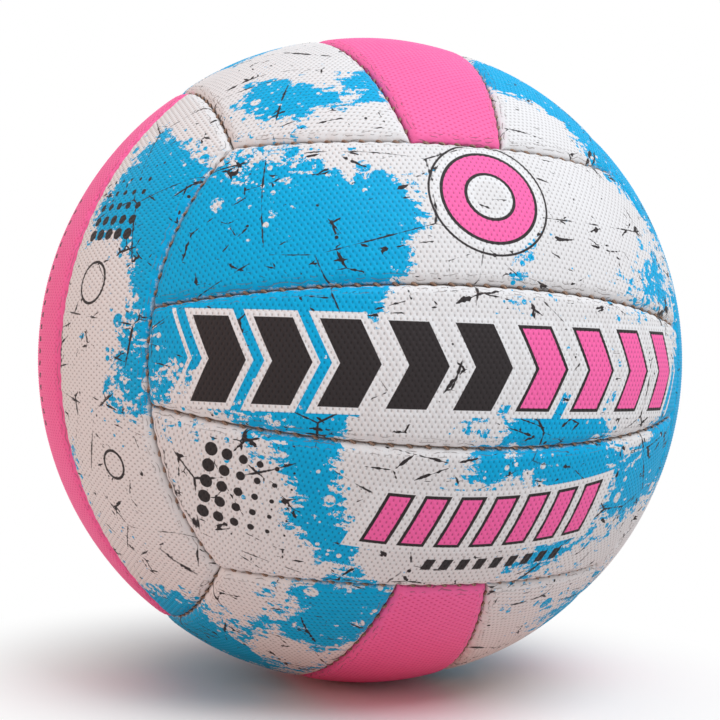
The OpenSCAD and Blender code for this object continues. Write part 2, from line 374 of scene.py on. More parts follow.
# %% The pimpled outside of a panel
def outer_cover(name, middle, lean, half_width, seams):
    cover = flat_sheet(name, half_length, half_width, pimple_pitch / 4, row_pitch / 2)
    wrap_on_ball(cover, middle, lean)
    bpy.ops.object.mode_set(mode="EDIT")
    for seam, _ in seams:
        cut_at(seam, seam_gap / 2, True)
        for distance in roll_cuts:
            cut_at(seam, distance, False)
    bpy.ops.object.mode_set(mode="OBJECT")
    directions, radii, nearest = shape_cover(cover, seams)
    flat = flat_of(directions, middle, lean)
    radii += pimple_heights(flat, nearest)
    move_points(cover, directions * radii[:, None])
    bpy.ops.object.mode_set(mode="EDIT")
    extrude_rim_inwards(roll_depth + pillow + pucker_depth)
    bpy.ops.object.mode_set(mode="OBJECT")
    return cover


# %% A whole panel, bridged along its rim
def cover_panel(face, side):
    normal, _, across, strips = FACES[face][:4]
    name = f"{face}_{strips[side + 1]}"
    tilt = side * strip_angle
    middle = math.cos(tilt) * normal + math.sin(tilt) * across
    lean = math.cos(tilt) * across - math.sin(tilt) * normal
    half_width = outer_half_width if side else middle_half_width
    seams = seams_round(face, side)
    skin = inner_skin(name, middle, lean, half_width, seams)
    cover = outer_cover(name, middle, lean, half_width, seams)
    skin.select_set(True)
    bpy.context.view_layer.objects.active = cover
    bpy.ops.object.join()
    bpy.ops.object.mode_set(mode="EDIT")
    select_rim()
    bpy.ops.mesh.bridge_edge_loops()
    bpy.ops.mesh.select_all(action="SELECT")
    bpy.ops.mesh.normals_make_consistent(inside=False)
    bpy.ops.object.mode_set(mode="OBJECT")
    bpy.ops.object.shade_smooth_by_angle(angle=smooth_angle)
    return cover


# %% Make the eighteen covers
covers = {}
for face, details in FACES.items():
    for side, strip in zip((-1, 0, 1), details[3]):
        covers[f"{face}_{strip}"] = cover_panel(face, side)
triangles = sum(len(p.vertices) - 2 for c in covers.values() for p in c.data.polygons)
print("covers:", len(covers), "with", triangles, "triangles")

# %% [markdown]
# ## The hole for the valve
# The valve comes up through a hole in the middle of the back. The hole is punched with a
# boolean cylinder, as the real one is punched with a round die, and the modifier is applied.
# The sheet's bent quads are split into flat triangles first, so that the cut leaves no
# slivers, and the punch is turned a little, so that its corners miss the lines of the grid.

# %% Punch the valve's hole
valve_hole_r = 4.55 * MM
punch_turn = math.radians(1.7)
punch_sides = 48
valve_panel = covers["back_middle"]
bpy.ops.object.select_all(action="DESELECT")
bpy.ops.mesh.primitive_cylinder_add(
    vertices=punch_sides,
    radius=valve_hole_r,
    depth=4 * allowance_depth,
    location=(0, ball_r, 0),
    rotation=(math.pi / 2, punch_turn, 0),
)
punch = bpy.context.active_object
bpy.ops.object.select_all(action="DESELECT")
bpy.context.view_layer.objects.active = valve_panel
bpy.ops.object.mode_set(mode="EDIT")
bpy.ops.mesh.select_all(action="SELECT")
bpy.ops.mesh.quads_convert_to_tris()
bpy.ops.object.mode_set(mode="OBJECT")
hole = valve_panel.modifiers.new("valve_hole", "BOOLEAN")
hole.object = punch
hole.operation = "DIFFERENCE"
bpy.ops.object.modifier_apply(modifier=hole.name)
bpy.data.objects.remove(punch)
print("faces of the valve's panel:", len(valve_panel.data.polygons))

# %% [markdown]
# ## The thread
# The ball is saddle-stitched with waxed thread. What shows is a row of short arches at the
# bottom of each groove, with the laid thread between them. An arch is part of a small ring,
# so one is cut from a torus, and its copies are set along the seams. The laid thread is an
# arc of a long thin torus about the seam's own axis.

# %% Sizes of the thread
thread_r = 0.4 * MM
arch_r = 1.25 * MM
arch_half_angle = math.radians(68)
arch_top_depth = 1.9 * MM
laid_depth = 3.2 * MM
stitch_slant = math.radians(57)


# %% One stitch, modelled once
def model_stitch():
    bpy.ops.object.select_all(action="DESELECT")
    bpy.ops.mesh.primitive_torus_add(
        major_radius=arch_r,
        minor_radius=thread_r,
        major_segments=16,
        minor_segments=6,
        rotation=(0, math.pi / 2, 0),
    )
    bpy.ops.object.transform_apply(location=False, rotation=True, scale=False)
    arch = bpy.context.active_object
    bpy.ops.object.mode_set(mode="EDIT")
    bpy.ops.mesh.select_all(action="SELECT")
    bpy.ops.mesh.bisect(
        plane_co=(0, 0, arch_r * math.cos(arch_half_angle)),
        plane_no=(0, 0, 1),
        use_fill=True,
        clear_inner=True,
        threshold=cut_threshold,
    )
    bpy.ops.object.mode_set(mode="OBJECT")
    arch.data.transform(Matrix.Rotation(stitch_slant, 4, "Z"))
    bpy.ops.object.shade_smooth_by_angle(angle=smooth_angle)
    return arch


stitch = model_stitch()
print("faces of one stitch:", len(stitch.data.polygons))


# %% A stitch in its place and the thread laid along a seam
def seam_frame(seam, angle):
    """Columns: along the seam, across it, and out of the ball, at an angle round its axis."""
    axis, middle, polar = seam
    ray = math.cos(angle) * middle + math.sin(angle) * axis.cross(middle)
    out = (math.sin(polar) * ray + math.cos(polar) * axis).normalized()
    along = axis.cross(ray)
    return Matrix((along, out.cross(along), out)).transposed().to_4x4()


def set_stitch(seam, angle):
    copy = stitch.copy()
    copy.data = stitch.data.copy()
    bpy.context.collection.objects.link(copy)
    lift = Matrix.Translation((0, 0, ball_r - arch_top_depth - arch_r))
    copy.data.transform(seam_frame(seam, angle) @ lift)
    return copy


def lay_thread(seam, arc):
    axis, middle, polar = seam
    radius = ball_r - laid_depth
    bpy.ops.object.select_all(action="DESELECT")
    bpy.ops.mesh.primitive_torus_add(
        major_radius=radius * math.sin(polar),
        minor_radius=thread_r,
        major_segments=240,
        minor_segments=6,
    )
    thread = bpy.context.active_object
    about_axis = Matrix((middle, axis.cross(middle), axis)).transposed().to_4x4()
    thread.data.transform(about_axis @ Matrix.Translation((0, 0, radius * math.cos(polar))))
    bpy.ops.object.mode_set(mode="EDIT")
    for angle, turn in ((arc[0], -1), (arc[1], 1)):
        ray = math.cos(angle) * middle + math.sin(angle) * axis.cross(middle)
        bpy.ops.mesh.select_all(action="SELECT")
        bpy.ops.mesh.bisect(
            plane_co=(0, 0, 0),
            plane_no=turn * axis.cross(ray),
            use_fill=True,
            clear_outer=True,
            threshold=cut_threshold,
        )
    bpy.ops.object.mode_set(mode="OBJECT")
    bpy.ops.object.shade_smooth_by_angle(angle=smooth_angle)
    return thread


# %% Sew a set of seams as one piece
def sew(name, runs):
    """Makes one piece of the thread of some seams, each given with its stitched arcs."""
    parts = []
    for seam, arcs in runs:
        parts.append(lay_thread(seam, (arcs[0][0], arcs[-1][1])))
        parts += [set_stitch(seam, angle) for arc in arcs for angle in stitch_angles(seam, arc)]
    bpy.ops.object.select_all(action="DESELECT")
    for part in parts:
        part.select_set(True)
    bpy.context.view_layer.objects.active = parts[0]
    bpy.ops.object.join()
    parts[0].name = name
    return parts[0]


threads = {}
for face, (normal, along, across, strips, neighbours) in FACES.items():
    for side, neighbour in zip((-1, 1), neighbours):
        between = f"{face}_{neighbour}"
        run = (side_seam(normal, side * across), [end_arc(s) for s in (-1, 0, 1)])
        threads[f"{between}_seam_thread"] = sew(f"{between}_stitches", [run])
    whole = [(-inner_half_arc, inner_half_arc)]
    inner = [(inner_seam(normal, c * across), whole) for c in (-1, 1)]
    threads[f"{face}_strip_seam_threads"] = sew(f"{face}_strip_stitches", inner)
bpy.data.objects.remove(stitch)
print("thread pieces:", len(threads))

# %% [markdown]
# ## Colours and nodes
# Every colour is written as the sRGB hex value that the eye compares, and one function turns
# it to the linear value that the shader needs. One small function adds a node with its
# settings and links. Patterns follow the object's own coordinates, in metres, or the flat
# millimetre map that each cover kept from its sheet.


# %% Helpers for materials
def linear(hex_colour):
    channels = [int(hex_colour[i : i + 2], 16) / 255 for i in (0, 2, 4)]
    return [c / 12.92 if c <= 0.04045 else ((c + 0.055) / 1.055) ** 2.4 for c in channels] + [1]


def add(tree, kind, inputs=None, **settings):
    node = tree.nodes.new(kind)
    for key, value in settings.items():
        setattr(node, key, value)
    for key, value in (inputs or {}).items():
        if isinstance(value, bpy.types.NodeSocket):
            tree.links.new(value, node.inputs[key])
        else:
            node.inputs[key].default_value = value
    return node


def start_material(name, roughness, ior):
    material = bpy.data.materials.new(name)
    material.use_nodes = True
    tree = material.node_tree
    shader = tree.nodes["Principled BSDF"]
    shader.inputs["Roughness"].default_value = roughness
    shader.inputs["IOR"].default_value = ior
    return material, tree, shader


# %% Small sums of patterns
def sum_of(tree, operation, *values):
    node = add(tree, "ShaderNodeMath", dict(enumerate(values)), operation=operation)
    return node.outputs[0]


def edge_of(tree, value, level, softness):
    """One where the value is above a level, nought below it, with a soft edge."""
    limits = {"Value": value, "From Min": level - softness, "From Max": level + softness}
    return add(tree, "ShaderNodeMapRange", limits, interpolation_type="SMOOTHSTEP").outputs[0]


def cloud(tree, place, grain, detail=2.0, roughness=0.5, distortion=0.0):
    """Noise whose blots are about as wide as the grain, which is in the unit of the place."""
    inputs = {
        "Vector": place,
        "Scale": 1 / grain,
        "Detail": detail,
        "Roughness": roughness,
        "Distortion": distortion,
    }
    return add(tree, "ShaderNodeTexNoise", inputs).outputs["Fac"]


def lay_over(tree, mask, below, above, blend="MIX"):
    inputs = {0: mask, 6: below, 7: above}
    return add(tree, "ShaderNodeMix", inputs, data_type="RGBA", blend_type=blend).outputs[2]


# %% [markdown]
# ## The pimpled rubber
# The cover is natural rubber sheet, moulded with its pimples and then screen-printed. Up
# close a small dark dot of painted shade sits in each valley between the pimples. Near a seam
# fine wrinkles run along beside it, their creases and the groove at the seam are painted
# darker as painted shade, and the print is rubbed. The pimples are geometry already, so
# the bump only rounds them off, and the distance from the seam comes from an attribute of
# the mesh.

# %% Colours and sizes of the rubber's surface
rubber_white = "ECECED"
rubber_white_worn = "E2E0E0"
rubber_pink = "FF78B4"
rubber_pink_deep = "FB65A4"
# Colours of the painted shade in the valleys between the pimples, on white and on pink
white_valley_shade = "A59E9B"
pink_valley_shade = "D4709E"
# Colour of the painted shade in the creases of the wrinkles and in the groove at the seam
crease_shade = "7A6C66"
rubber_roughness = 0.55
rubber_ior = 1.52
rubber_gloss = 0.15
# How strongly the valleys are painted darker, as painted shade
valley_shade_strength = 0.62
wrinkle_pitch_mm = 1.3
wander_mm = 3.0
wander_grain = 5 * MM
rub_width = 1.2 * MM
skin_grain = 0.35 * MM
wrinkle_band_mm = 3.8
rub_band_mm = 2.2
smooth_band_mm = 2.6
groove_band_mm = 0.6
# How strongly the wrinkles and the groove at the seam are painted darker, as painted shade
wrinkle_shade_strength = 0.55
groove_shade_strength = 0.45
pimple_bump = 0.07
skin_bump = 0.06
wrinkle_bump = 0.12
roughness_spread = 0.1
pimple_pitch_mm = pimple_pitch / MM
row_pitch_mm = row_pitch / MM


# %% Rows of pimples, creases and rubbed places
def pimple_wave(tree, flat):
    """One on top of a pimple and minus one in the middle of a valley, from the flat map."""
    parts = add(tree, "ShaderNodeSeparateXYZ", {"Vector": flat})
    along = sum_of(tree, "MULTIPLY", parts.outputs["X"], 2 * math.pi / pimple_pitch_mm)
    across = sum_of(tree, "MULTIPLY", parts.outputs["Y"], math.pi / row_pitch_mm)
    return sum_of(
        tree, "MULTIPLY", sum_of(tree, "COSINE", along), sum_of(tree, "COSINE", across)
    )


def near_seam(tree, seam_mm, band):
    """One at the seam, falling to nought at a distance from it."""
    share = {"Value": seam_mm, "From Min": band, "From Max": 0.0}
    return add(tree, "ShaderNodeMapRange", share).outputs[0]


def wrinkle_lines(tree, place, seam_mm):
    """Broken hairlines that wander along beside the seam."""
    wander = sum_of(tree, "MULTIPLY_ADD", cloud(tree, place, wander_grain), wander_mm, seam_mm)
    turns = sum_of(tree, "MULTIPLY", wander, 2 * math.pi / wrinkle_pitch_mm)
    thin = edge_of(tree, sum_of(tree, "SINE", turns), level=0.86, softness=0.1)
    gaps = cloud(tree, place, wander_grain / 2, detail=3.0)
    broken = edge_of(tree, gaps, level=0.51, softness=0.04)
    band = near_seam(tree, seam_mm, wrinkle_band_mm)
    band = edge_of(tree, band, level=0.25, softness=0.15)
    return sum_of(tree, "MULTIPLY", sum_of(tree, "MULTIPLY", thin, broken), band)


def rubbed_places(tree, place, seam_mm):
    band = near_seam(tree, seam_mm, rub_band_mm)
    blots = cloud(tree, place, rub_width, detail=4.0, roughness=0.7)
    return edge_of(tree, sum_of(tree, "MULTIPLY", blots, band), level=0.41, softness=0.07)


# %% Finish of a cover, whatever its colour
def finish_cover(tree, shader, colour, valley_shade, place, flat, seam_mm):
    away = sum_of(tree, "SUBTRACT", 1.0, near_seam(tree, seam_mm, smooth_band_mm))
    wave = sum_of(tree, "MULTIPLY", pimple_wave(tree, flat), away)
    # Painted shade: each valley between the pimples is darkened
    valleys = sum_of(tree, "MULTIPLY", wave, -1.0)
    valleys = edge_of(tree, valleys, level=0.62, softness=0.3)
    dots = sum_of(tree, "MULTIPLY", valleys, valley_shade_strength)
    colour = lay_over(tree, dots, colour, linear(valley_shade), "MULTIPLY")
    # Painted shade: the creases of the wrinkles beside the seam are darkened
    wrinkles = wrinkle_lines(tree, place, seam_mm)
    wrinkle_shade = sum_of(tree, "MULTIPLY", wrinkles, wrinkle_shade_strength)
    colour = lay_over(tree, wrinkle_shade, colour, linear(crease_shade))
    # Painted shade: the groove along the seam is darkened
    groove = near_seam(tree, seam_mm, groove_band_mm)
    groove = sum_of(tree, "MULTIPLY", groove, groove_shade_strength)
    colour = lay_over(tree, groove, colour, linear(crease_shade), "MULTIPLY")
    tree.links.new(colour, shader.inputs["Base Color"])

    skin = cloud(tree, place, skin_grain, detail=3.0)
    height = sum_of(tree, "MULTIPLY", wave, pimple_bump)
    height = sum_of(tree, "ADD", height, sum_of(tree, "MULTIPLY", skin, skin_bump))
    dent = sum_of(tree, "MULTIPLY", wrinkles, wrinkle_bump)
    height = sum_of(tree, "SUBTRACT", height, dent)
    bump = add(tree, "ShaderNodeBump", {"Height": height, "Distance": MM, "Strength": 1.0})
    tree.links.new(bump.outputs["Normal"], shader.inputs["Normal"])
    shader.inputs["Specular IOR Level"].default_value = rubber_gloss
    shine = {
        "Value": skin,
        "To Min": rubber_roughness - roughness_spread,
        "To Max": rubber_roughness + roughness_spread,
    }
    rough = add(tree, "ShaderNodeMapRange", shine).outputs[0]
    tree.links.new(rough, shader.inputs["Roughness"])


def cover_coordinates(tree):
    place = add(tree, "ShaderNodeTexCoord").outputs["Object"]
    flat = add(tree, "ShaderNodeUVMap", uv_map="UVMap").outputs["UV"]
    seam_mm = add(tree, "ShaderNodeAttribute", attribute_name="seam_mm").outputs["Fac"]
    return place, flat, seam_mm


# %% Plain pink rubber
pink_blot = 30 * MM


def plain_cover(name, draw_marks=None):
    material, tree, shader = start_material(name, rubber_roughness, rubber_ior)
    place, flat, seam_mm = cover_coordinates(tree)
    tone = cloud(tree, place, pink_blot, detail=3.0)
    colour = lay_over(tree, tone, linear(rubber_pink), linear(rubber_pink_deep))
    if draw_marks:
        colour = draw_marks(tree, flat, colour)
    finish_cover(tree, shader, colour, pink_valley_shade, place, flat, seam_mm)
    return material


# %% [markdown]
# ## The print
# The white rubber is screen-printed in flat inks: blue paint splashes with brushed edges and
# drops, and thin black scratches over them. Both are noise and cells with a hard threshold,
# which gives the crisp edge of a screen print. The larger marks are chevrons, slanted bars,
# rings and dots. Each is a distance in millimetres on the panel's flat map, so that its
# keyline and outline follow its shape.

# %% Inks
ink_blue = "00B9EC"
ink_blue_deep = "00A2DA"
ink_black = "322D2E"
ink_pink = "FF6CB0"
splash_width = 62 * MM
splash_level = 0.84
ragged_width = 8 * MM
ragged_reach = 0.42
bristle_width = 1.5 * MM
bristle_stretch = (0.1, 0.6, 1)
bristle_turn = math.radians(38)
bristle_reach = 0.2
drop_band = 0.07
print_edge = 0.006
# Each family of scratches: its turn in degrees, the spacing of its lines, how far they are
# drawn out, the level of the noise that starts a scratch, how fast it swells from there, and
# its thickest half. The last family is the long straight lines, thin and broken.
scratch_families = (
    (20, 15 * MM, 0.4, 0.54, 0.22, 0.4 * MM),
    (115, 9 * MM, 0.35, 0.57, 0.3, 0.32 * MM),
    (60, 34 * MM, 0.6, 0.47, 0.06, 0.26 * MM),
)
scratch_grain = 9 * MM


# %% Drops of paint
def drops_of(tree, place, spacing, largest_share, rarity):
    """Round drops of many sizes, one to a cell, the large ones rare."""
    cells = {"Vector": place, "Scale": 1 / spacing, "Randomness": 1.0}
    drop = add(tree, "ShaderNodeTexVoronoi", cells)
    size = add(tree, "ShaderNodeSeparateColor", {"Color": drop.outputs["Color"]}).outputs[0]
    reach = sum_of(tree, "MULTIPLY", sum_of(tree, "POWER", size, rarity), largest_share)
    within = sum_of(tree, "SUBTRACT", reach, drop.outputs["Distance"])
    return edge_of(tree, within, level=0.0, softness=0.02)


# %% Blue splashes
def splash_mask(tree, place):
    large = cloud(tree, place, splash_width, detail=1.0, roughness=0.4, distortion=0.6)
    ragged = cloud(tree, place, ragged_width, detail=6.0, roughness=0.78, distortion=0.5)
    brushed = {
        "Vector": place,
        "Rotation": (0, bristle_turn, 0),
        "Scale": bristle_stretch,
    }
    strokes = add(tree, "ShaderNodeMapping", brushed).outputs[0]
    bristles = cloud(tree, strokes, bristle_width, detail=3.0)
    level = sum_of(tree, "MULTIPLY_ADD", ragged, ragged_reach, large)
    level = sum_of(tree, "MULTIPLY_ADD", bristles, bristle_reach, level)
    splash = edge_of(tree, level, splash_level, print_edge)
    off_edge = sum_of(tree, "ABSOLUTE", sum_of(tree, "SUBTRACT", level, splash_level))
    near_edge = sum_of(tree, "SUBTRACT", drop_band, off_edge)
    near_edge = edge_of(tree, near_edge, level=0.0, softness=0.01)
    coarse = drops_of(tree, place, spacing=8 * MM, largest_share=0.34, rarity=2.0)
    fine = drops_of(tree, place, spacing=3 * MM, largest_share=0.34, rarity=2.0)
    drops = sum_of(tree, "MULTIPLY", sum_of(tree, "MAXIMUM", coarse, fine), near_edge)
    # A drop is blue on the white beside a splash, and white inside it
    return sum_of(tree, "ABSOLUTE", sum_of(tree, "SUBTRACT", splash, drops)), bristles


# %% Black scratches and flecks
def scratch_mask(tree, place):
    mask = drops_of(tree, place, spacing=4.5 * MM, largest_share=0.15, rarity=6.0)
    for turn, spacing, squeeze, start, swell, thickest in scratch_families:
        stretched = {
            "Vector": place,
            "Rotation": (0, math.radians(turn), math.radians(turn)),
            "Scale": (squeeze, 1, 1),
        }
        cells = {
            "Vector": add(tree, "ShaderNodeMapping", stretched).outputs[0],
            "Scale": 1 / spacing,
            "Randomness": 1.0,
        }
        lines = add(tree, "ShaderNodeTexVoronoi", cells, feature="DISTANCE_TO_EDGE")
        grain = cloud(tree, place, scratch_grain, detail=3.0, roughness=0.7)
        width = sum_of(tree, "MULTIPLY", sum_of(tree, "SUBTRACT", grain, start), swell)
        width = sum_of(tree, "MINIMUM", width, thickest / spacing)
        thin = sum_of(tree, "SUBTRACT", width, lines.outputs["Distance"])
        line = edge_of(tree, thin, level=0.0, softness=0.003)
        mask = sum_of(tree, "MAXIMUM", mask, line)
    return mask


# %% Marks on the flat map, each a distance in millimetres
def centred(tree, flat, centre):
    spot = add(tree, "ShaderNodeSeparateXYZ", {"Vector": flat})
    return [sum_of(tree, "SUBTRACT", spot.outputs[i], centre[i]) for i in (0, 1)]


def stroke_row(tree, flat, centre, count, pitch, width, height, slant, folded):
    """A row of slanted bars, or of chevrons where it is folded about its middle line."""
    u, v = centred(tree, flat, centre)
    lean = sum_of(tree, "ABSOLUTE", v) if folded else v
    u = sum_of(tree, "MULTIPLY_ADD", lean, slant, u)
    step = sum_of(tree, "PINGPONG", sum_of(tree, "ADD", u, pitch * (count - 1) / 2), pitch / 2)
    beside = sum_of(tree, "SUBTRACT", step, width / 2)
    beside = sum_of(tree, "MULTIPLY", beside, 1 / math.hypot(1, slant))
    above = sum_of(tree, "SUBTRACT", sum_of(tree, "ABSOLUTE", v), height / 2)
    past = sum_of(tree, "SUBTRACT", sum_of(tree, "ABSOLUTE", u), pitch * count / 2)
    return sum_of(tree, "MAXIMUM", sum_of(tree, "MAXIMUM", beside, above), past), u


def ring(tree, flat, centre, radius, width):
    u, v = centred(tree, flat, centre)
    out = sum_of(tree, "SQRT", sum_of(tree, "MULTIPLY_ADD", u, u, sum_of(tree, "MULTIPLY", v, v)))
    off = sum_of(tree, "ABSOLUTE", sum_of(tree, "SUBTRACT", out, radius))
    return sum_of(tree, "SUBTRACT", off, width / 2)


def halftone(tree, flat, centre, half_size, pitch, largest_r):
    """Square rows of dots, which shrink from one side of the patch to the other."""
    u, v = centred(tree, flat, centre)
    cell = [sum_of(tree, "PINGPONG", c, pitch / 2) for c in (u, v)]
    off = sum_of(tree, "MULTIPLY_ADD", cell[0], cell[0], sum_of(tree, "MULTIPLY", cell[1], cell[1]))
    column = sum_of(tree, "SNAP", sum_of(tree, "ADD", u, pitch / 2), pitch)
    shrink = {
        "Value": column,
        "From Min": -half_size[0],
        "From Max": half_size[0],
        "To Min": largest_r,
        "To Max": 0.0,
    }
    radius = add(tree, "ShaderNodeMapRange", shrink).outputs[0]
    dot = sum_of(tree, "SUBTRACT", sum_of(tree, "SQRT", off), radius)
    inside = sum_of(tree, "SUBTRACT", sum_of(tree, "ABSOLUTE", v), half_size[1])
    start = sum_of(tree, "SUBTRACT", -half_size[0] - pitch / 2, u)
    return sum_of(tree, "MAXIMUM", dot, sum_of(tree, "MAXIMUM", inside, start))


def under(tree, distance, reach):
    """One where a distance in millimetres is less than a reach."""
    within = sum_of(tree, "SUBTRACT", reach, distance)
    return edge_of(tree, within, level=0.0, softness=0.08)


# %% White rubber with its print
white_blot = 40 * MM
print_wear = 0.55


def printed_cover(name, seed, draw_marks=None):
    material, tree, shader = start_material(name, rubber_roughness, rubber_ior)
    place, flat, seam_mm = cover_coordinates(tree)
    tone = cloud(tree, place, white_blot, detail=3.0)
    white = lay_over(tree, tone, linear(rubber_white), linear(rubber_white_worn))
    printed = add(tree, "ShaderNodeMapping", {"Vector": place, "Location": seed}).outputs[0]
    splash, bristles = splash_mask(tree, printed)
    blue = lay_over(tree, bristles, linear(ink_blue), linear(ink_blue_deep))
    colour = lay_over(tree, splash, white, blue)
    colour = lay_over(tree, scratch_mask(tree, printed), colour, linear(ink_black))
    if draw_marks:
        colour = draw_marks(tree, flat, colour)
    rubbed = rubbed_places(tree, place, seam_mm)
    colour = lay_over(tree, sum_of(tree, "MULTIPLY", rubbed, print_wear), colour, white)
    finish_cover(tree, shader, colour, white_valley_shade, place, flat, seam_mm)
    return material


# %% The marks of each panel
keyline_mm = 3.0
outline_mm = 1.0


def with_edges(tree, colour, shape):
    """A white keyline and a black outline round a shape."""
    colour = lay_over(tree, under(tree, shape, keyline_mm), colour, linear(rubber_white))
    return lay_over(tree, under(tree, shape, outline_mm), colour, linear(ink_black))


def chevrons(tree, flat, colour):
    row, along = stroke_row(
        tree, flat, centre=(4, 0), count=9, pitch=19.5, width=9.5, height=23, slant=0.5, folded=True
    )
    colour = with_edges(tree, colour, row)
    pink_end = edge_of(tree, along, level=9.75, softness=0.1)
    fill = sum_of(tree, "MULTIPLY", under(tree, row, 0.0), pink_end)
    return lay_over(tree, fill, colour, linear(ink_pink))


def target_ring(tree, flat, colour):
    wide = ring(tree, flat, centre=(6, 4), radius=11.5, width=6.5)
    thin = ring(tree, flat, centre=(6, 4), radius=19, width=0.7)
    colour = with_edges(tree, colour, wide)
    colour = lay_over(tree, under(tree, wide, 0.0), colour, linear(ink_pink))
    return lay_over(tree, under(tree, thin, 0.0), colour, linear(ink_black))


def slanted_bars(tree, flat, colour):
    row, _ = stroke_row(
        tree, flat, centre=(10, 1), count=7, pitch=11, width=6, height=15, slant=-0.35, folded=False
    )
    colour = with_edges(tree, colour, row)
    colour = lay_over(tree, under(tree, row, 0.0), colour, linear(ink_pink))
    ticks, _ = stroke_row(
        tree, flat, centre=(14, -14), count=9, pitch=5.5, width=3, height=4, slant=-0.35, folded=False
    )
    dots = halftone(tree, flat, centre=(-62, 0), half_size=(16, 14), pitch=5.2, largest_r=2.1)
    black = sum_of(tree, "MINIMUM", ticks, dots)
    return lay_over(tree, under(tree, black, 0.0), colour, linear(ink_black))


def small_rings(tree, flat, colour):
    for centre, radius in (((22, 4), 6.5), ((-34, -6), 4.5)):
        mark = ring(tree, flat, centre, radius, width=0.9)
        colour = lay_over(tree, under(tree, mark, 0.0), colour, linear(ink_black))
    dots = halftone(tree, flat, centre=(52, 2), half_size=(14, 12), pitch=4.8, largest_r=1.9)
    return lay_over(tree, under(tree, dots, 0.0), colour, linear(ink_black))


def dashed_line(tree, flat, colour):
    row, _ = stroke_row(
        tree, flat, centre=(14, 0), count=20, pitch=4, width=1.6, height=3.5, slant=0, folded=False
    )
    return lay_over(tree, under(tree, row, 0.0), colour, linear(ink_black))


# %% Print the covers
pink_rubber = plain_cover("moulded_pink_rubber")
dashed_pink_rubber = plain_cover("moulded_pink_rubber_dashes", dashed_line)
splash_seed = (0.31, 0.12, 0.57)
prints = {
    "plain": printed_cover("screen_printed_rubber", splash_seed),
    "chevrons": printed_cover("screen_printed_rubber_chevrons", splash_seed, chevrons),
    "ring": printed_cover("screen_printed_rubber_ring", splash_seed, target_ring),
    "bars": printed_cover("screen_printed_rubber_bars", splash_seed, slanted_bars),
    "rings": printed_cover("screen_printed_rubber_small_rings", splash_seed, small_rings),
}
print_of = {
    "front_middle": "chevrons",
    "back_upper": "bars",
    "front_upper": "ring",
    "front_lower": "bars",
    "back_lower": "ring",
    "left_front": "rings",
    "right_back": "rings",
    "right_front": "rings",
}
pink_covers = {f"{face}_middle" for face in ("left", "right", "bottom", "top")}
for name, cover in covers.items():
    cover.data.materials.clear()
    if name == "left_middle":
        cover.data.materials.append(dashed_pink_rubber)
    elif name in pink_covers:
        cover.data.materials.append(pink_rubber)
    else:
        cover.data.materials.append(prints[print_of.get(name, "plain")])
print("materials of the covers:", len(prints) + 2)

# %% [markdown]
# ## The thread and the pieces inside
# The thread is polyester, twisted from plies and waxed, and its twist shows as fine slanted
# ridges. Inside the ball are the woven linings, the butyl bladder dusted with talc, the black
# rubber valve with its grey silicone core, and a patch of rubberised canvas. They are rigid
# CAD nodes whose shape is right, so they keep their meshes and only get their materials.

# %% Twisted thread
thread_colour = "B79A84"
# The darker thread colour is painted shade, for the grooves of the twist
thread_shade = "745644"
ply_spacing = 0.5 * MM
# Blender's wave texture repeats at this length where its scale is one
wave_repeat = 0.314


def twisted_thread():
    material, tree, shader = start_material("waxed_polyester_thread", roughness=0.55, ior=1.5)
    place = add(tree, "ShaderNodeTexCoord").outputs["Object"]
    plies = {
        "Vector": place,
        "Scale": wave_repeat / ply_spacing,
        "Distortion": 2.0,
        "Detail": 2.0,
    }
    ridge = add(tree, "ShaderNodeTexWave", plies, bands_direction="DIAGONAL").outputs["Fac"]
    fuzz = cloud(tree, place, 0.8 * MM, detail=3.0)
    # Painted shade: the grooves between the ridges of the twist are darker, and noise breaks the tone
    # at random
    tone = sum_of(tree, "MULTIPLY", ridge, fuzz)
    colour = lay_over(tree, tone, linear(thread_shade), linear(thread_colour))
    tree.links.new(colour, shader.inputs["Base Color"])
    bump = {"Height": ridge, "Distance": 0.1 * MM, "Strength": 0.8}
    tree.links.new(add(tree, "ShaderNodeBump", bump).outputs["Normal"], shader.inputs["Normal"])
    return material


# %% Woven cloth and moulded rubber for the inner pieces
def woven_cloth(name, light, dark, yarn_spacing):
    material, tree, shader = start_material(name, roughness=0.85, ior=1.5)
    place = add(tree, "ShaderNodeTexCoord").outputs["Object"]
    yarns = []
    for direction in ("X", "Z"):
        wave = {"Vector": place, "Scale": wave_repeat / yarn_spacing, "Distortion": 0.6}
        yarns.append(add(tree, "ShaderNodeTexWave", wave, bands_direction=direction).outputs["Fac"])
    weave = sum_of(tree, "MULTIPLY", yarns[0], yarns[1])
    colour = lay_over(tree, weave, linear(dark), linear(light))
    tree.links.new(colour, shader.inputs["Base Color"])
    bump = {"Height": weave, "Distance": 0.2 * MM, "Strength": 0.7}
    tree.links.new(add(tree, "ShaderNodeBump", bump).outputs["Normal"], shader.inputs["Normal"])
    return material


def moulded_rubber(name, base, bloom, roughness, grain):
    material, tree, shader = start_material(name, roughness, ior=1.5)
    place = add(tree, "ShaderNodeTexCoord").outputs["Object"]
    patches = cloud(tree, place, 20 * grain, detail=4.0, roughness=0.6)
    colour = lay_over(tree, patches, linear(base), linear(bloom))
    tree.links.new(colour, shader.inputs["Base Color"])
    rough = cloud(tree, place, grain, detail=3.0)
    bump = {"Height": rough, "Distance": 0.05 * MM, "Strength": 0.6}
    tree.links.new(add(tree, "ShaderNodeBump", bump).outputs["Normal"], shader.inputs["Normal"])
    return material


